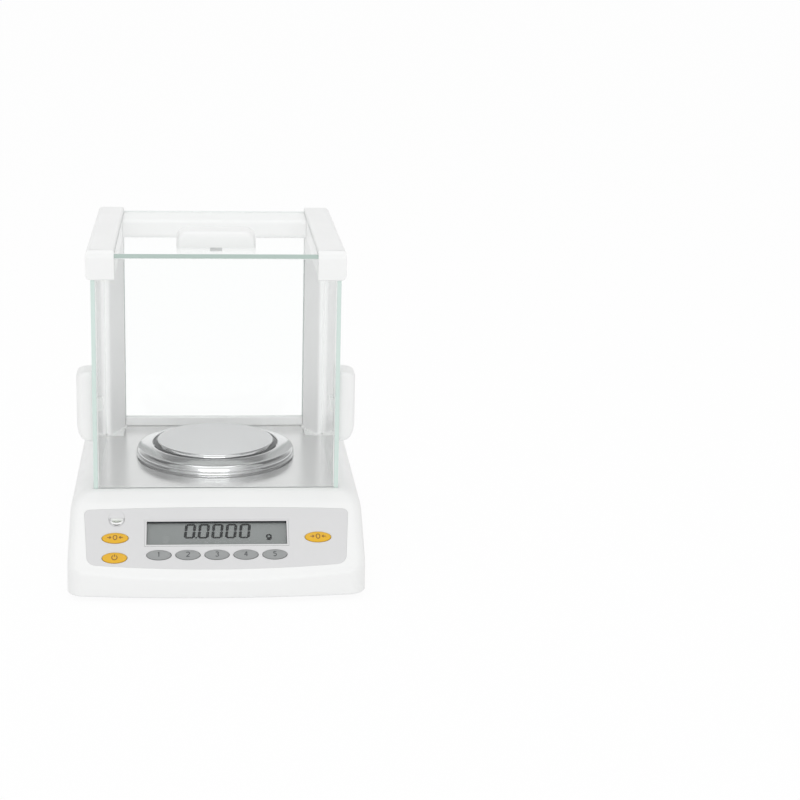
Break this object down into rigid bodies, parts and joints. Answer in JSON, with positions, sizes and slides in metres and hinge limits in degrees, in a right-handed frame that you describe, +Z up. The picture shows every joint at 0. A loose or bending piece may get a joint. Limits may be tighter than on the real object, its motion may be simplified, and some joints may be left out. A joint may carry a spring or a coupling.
{
  "type": "precision balance",
  "caption": "Bench balance with a sloping keypad and display, a round steel pan on a shield disc, and a glass draft shield with sliding side and top doors.",
  "frame": {"origin": "middle of the footprint, on the bench", "axes": "+Z up, front with the control panel faces -Y, +X to the viewer's right"},
  "size_m": [0.23, 0.304, 0.2702],
  "materials": {
    "housing_white": "satin moulding",
    "grip_white": "smooth moulding",
    "pillar_grey": "satin paint",
    "tray_grey": "moulded",
    "steel": "plated",
    "rubber": "matte",
    "wheel_grey": "knurled",
    "fascia_grey": "satin",
    "frame_dark": "matte",
    "window_clear": "clear",
    "lcd": "smooth",
    "board_green": "lacquered",
    "cup_white": "smooth",
    "key_yellow": "smooth",
    "key_grey": "smooth",
    "floor_grey": "gloss",
    "pane": "clear",
    "guide_plastic": "smooth",
    "pan_steel": "fine brushed",
    "disc_steel": "polished",
    "cell_alloy": "machined",
    "guide_bronze": "rolled",
    "magnet_iron": "machined",
    "copper": "wound"
  },
  "bodies": {
    "housing": {"base_tray": "tray_grey", "upper_housing": "housing_white", "housing_screws": "steel", "front_feet": "rubber", "lock_lug": "steel", "control_fascia": "fascia_grey", "display_frame": "frame_dark", "display_window": "window_clear", "lcd_cell": "lcd", "key_board": "board_green", "key_switches": "frame_dark", "level_cup": "cup_white", "level_vial": "window_clear", "chamber_floor": "floor_grey", "front_glass": "pane", "rear_glass": "pane", "rear_sill": "housing_white", "door_guides": "guide_plastic", "left_pillar": "pillar_grey", "right_pillar": "pillar_grey", "pillar_screws": "steel", "left_rail": "housing_white", "right_rail": "housing_white", "rear_hood": "housing_white", "cell_base": "cell_alloy", "cell_column": "cell_alloy", "guide_plates": "guide_bronze", "magnet_pot": "magnet_iron", "position_sensor": "frame_dark", "main_board": "board_green", "connector_board": "board_green", "data_port": "steel", "power_jack": "frame_dark"},
    "left_door": {"left_door_glass": "pane", "left_door_grip": "grip_white", "left_door_clamp": "grip_white"},
    "right_door": {"right_door_glass": "pane", "right_door_grip": "grip_white", "right_door_clamp": "grip_white"},
    "top_door": {"top_glass": "pane", "top_grip": "grip_white", "top_clamp": "grip_white"},
    "carrier": {"load_receiver": "cell_alloy"},
    "pan": {"weighing_pan": "pan_steel"},
    "beam": {"cell_lever": "cell_alloy", "cell_coil": "copper"},
    "disc": {"shield_disc": "disc_steel"},
    "left_foot": {"foot_pad_left": "rubber"},
    "left_foot_screw": {"foot_screw_left": "wheel_grey"},
    "right_foot": {"foot_pad_right": "rubber"},
    "right_foot_screw": {"foot_screw_right": "wheel_grey"},
    "key_zero_left_body": {"key_zero_left": "key_yellow"},
    "key_power_body": {"key_power": "key_yellow"},
    "key_zero_right_body": {"key_zero_right": "key_yellow"},
    "key_1_body": {"key_1": "key_grey"},
    "key_2_body": {"key_2": "key_grey"},
    "key_3_body": {"key_3": "key_grey"},
    "key_4_body": {"key_4": "key_grey"},
    "key_5_body": {"key_5": "key_grey"}
  },
  "joints": [
    {"name": "left_door_slide", "type": "slide", "parent": "housing", "child": "left_door", "axis": [0, 1, 0], "range_m": [0, 0.128]},
    {"name": "right_door_slide", "type": "slide", "parent": "housing", "child": "right_door", "axis": [0, 1, 0], "range_m": [0, 0.128]},
    {"name": "top_door_slide", "type": "slide", "parent": "housing", "child": "top_door", "axis": [0, 1, 0], "range_m": [0, 0.118]},
    {"name": "carrier_travel", "type": "slide", "parent": "housing", "child": "carrier", "axis": [0, 0, 1], "range_m": [-0.00025, 0.00025], "stiffness_N_per_m": 8000, "springref_m": 0.00016},
    {"name": "beam_tilt", "type": "hinge", "parent": "housing", "child": "beam", "pos_m": [0, 0.039, 0.042], "axis": [1, 0, 0], "range_deg": [-0.9, 0.9]},
    {"name": "pan_lift", "type": "slide", "parent": "carrier", "child": "pan", "axis": [0, 0, 1], "range_m": [0, 0.04]},
    {"name": "disc_lift", "type": "slide", "parent": "housing", "child": "disc", "axis": [0, 0, 1], "range_m": [0, 0.0006]},
    {"name": "left_foot_height", "type": "slide", "parent": "housing", "child": "left_foot", "axis": [0, 0, 1], "range_m": [-0.003, 0.003]},
    {"name": "left_foot_turn", "type": "hinge", "parent": "left_foot", "child": "left_foot_screw", "pos_m": [-0.08, 0.129, 0.0095], "axis": [0, 0, 1], "range_deg": [-1080, 1080]},
    {"name": "right_foot_height", "type": "slide", "parent": "housing", "child": "right_foot", "axis": [0, 0, 1], "range_m": [-0.003, 0.003]},
    {"name": "right_foot_turn", "type": "hinge", "parent": "right_foot", "child": "right_foot_screw", "pos_m": [0.08, 0.129, 0.0095], "axis": [0, 0, 1], "range_deg": [-1080, 1080]},
    {"name": "key_zero_left_press", "type": "slide", "parent": "housing", "child": "key_zero_left_body", "axis": [0, 0.6018, -0.7986], "range_m": [0, 0.001], "stiffness_N_per_m": 200, "springref_m": -0.002},
    {"name": "key_power_press", "type": "slide", "parent": "housing", "child": "key_power_body", "axis": [0, 0.6018, -0.7986], "range_m": [0, 0.001], "stiffness_N_per_m": 200, "springref_m": -0.002},
    {"name": "key_zero_right_press", "type": "slide", "parent": "housing", "child": "key_zero_right_body", "axis": [0, 0.6018, -0.7986], "range_m": [0, 0.001], "stiffness_N_per_m": 200, "springref_m": -0.002},
    {"name": "key_1_press", "type": "slide", "parent": "housing", "child": "key_1_body", "axis": [0, 0.6018, -0.7986], "range_m": [0, 0.001], "stiffness_N_per_m": 200, "springref_m": -0.002},
    {"name": "key_2_press", "type": "slide", "parent": "housing", "child": "key_2_body", "axis": [0, 0.6018, -0.7986], "range_m": [0, 0.001], "stiffness_N_per_m": 200, "springref_m": -0.002},
    {"name": "key_3_press", "type": "slide", "parent": "housing", "child": "key_3_body", "axis": [0, 0.6018, -0.7986], "range_m": [0, 0.001], "stiffness_N_per_m": 200, "springref_m": -0.002},
    {"name": "key_4_press", "type": "slide", "parent": "housing", "child": "key_4_body", "axis": [0, 0.6018, -0.7986], "range_m": [0, 0.001], "stiffness_N_per_m": 200, "springref_m": -0.002},
    {"name": "key_5_press", "type": "slide", "parent": "housing", "child": "key_5_body", "axis": [0, 0.6018, -0.7986], "range_m": [0, 0.001], "stiffness_N_per_m": 200, "springref_m": -0.002}
  ],
  "couplings": [
    {"joint": "beam_tilt", "follows": "carrier_travel", "rad_per_m": -60.6},
    {"joint": "left_foot_turn", "follows": "left_foot_height", "rad_per_m": 6283.2},
    {"joint": "right_foot_turn", "follows": "right_foot_height", "rad_per_m": 6283.2}
  ]
}
